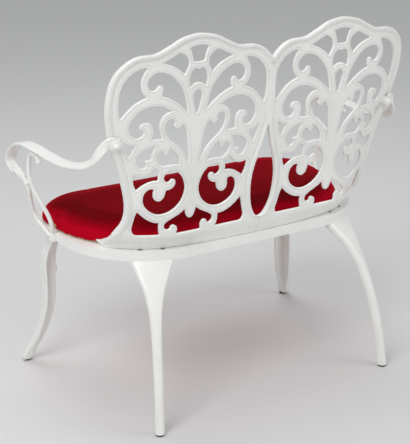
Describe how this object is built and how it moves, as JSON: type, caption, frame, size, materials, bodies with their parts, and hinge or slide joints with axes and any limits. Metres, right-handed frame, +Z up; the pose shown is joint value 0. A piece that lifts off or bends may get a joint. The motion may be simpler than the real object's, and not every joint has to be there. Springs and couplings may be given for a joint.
{
  "type": "scroll-back bench",
  "caption": "Garden-style settee with a cast openwork double back, scroll arms, four curved legs and an upholstered slip seat.",
  "frame": {"origin": "on the floor, in the middle of the bench's footprint", "axes": "+Z up, the sitter faces -Y, +X is the sitter's left; the back is on the +Y side"},
  "size_m": [0.9966, 0.5943, 0.9625],
  "materials": {
    "white_paint": "warm white gloss enamel on cast aluminium",
    "velvet": "deep red velvet",
    "foam": "upholstery foam",
    "plywood": "bare plywood",
    "black_rubber": "matt black",
    "zinc_steel": "zinc plated"
  },
  "bodies": {
    "root": {"seat_frame": "white_paint", "seat_board": "plywood", "seat_foam": "foam", "seat_cover": "velvet", "back_panel_left": "white_paint", "back_panel_right": "white_paint", "arm_left": "white_paint", "arm_right": "white_paint", "rear_leg_left": "white_paint", "rear_leg_right": "white_paint", "front_leg_left": "white_paint", "front_leg_right": "white_paint", "arm_washer_left": "white_paint", "arm_washer_right": "white_paint", "arm_bolt_left": "white_paint", "arm_bolt_right": "white_paint", "arm_nut_left": "zinc_steel", "arm_nut_right": "zinc_steel", "back_strap": "white_paint", "rear_glide_left": "black_rubber", "rear_glide_right": "black_rubber", "front_glide_left": "black_rubber", "front_glide_right": "black_rubber", "strap_screws": "zinc_steel", "rear_leg_screws": "zinc_steel", "front_leg_screws": "zinc_steel", "back_screws": "zinc_steel", "board_screws": "zinc_steel", "lug_screws": "zinc_steel"}
  },
  "joints": []
}
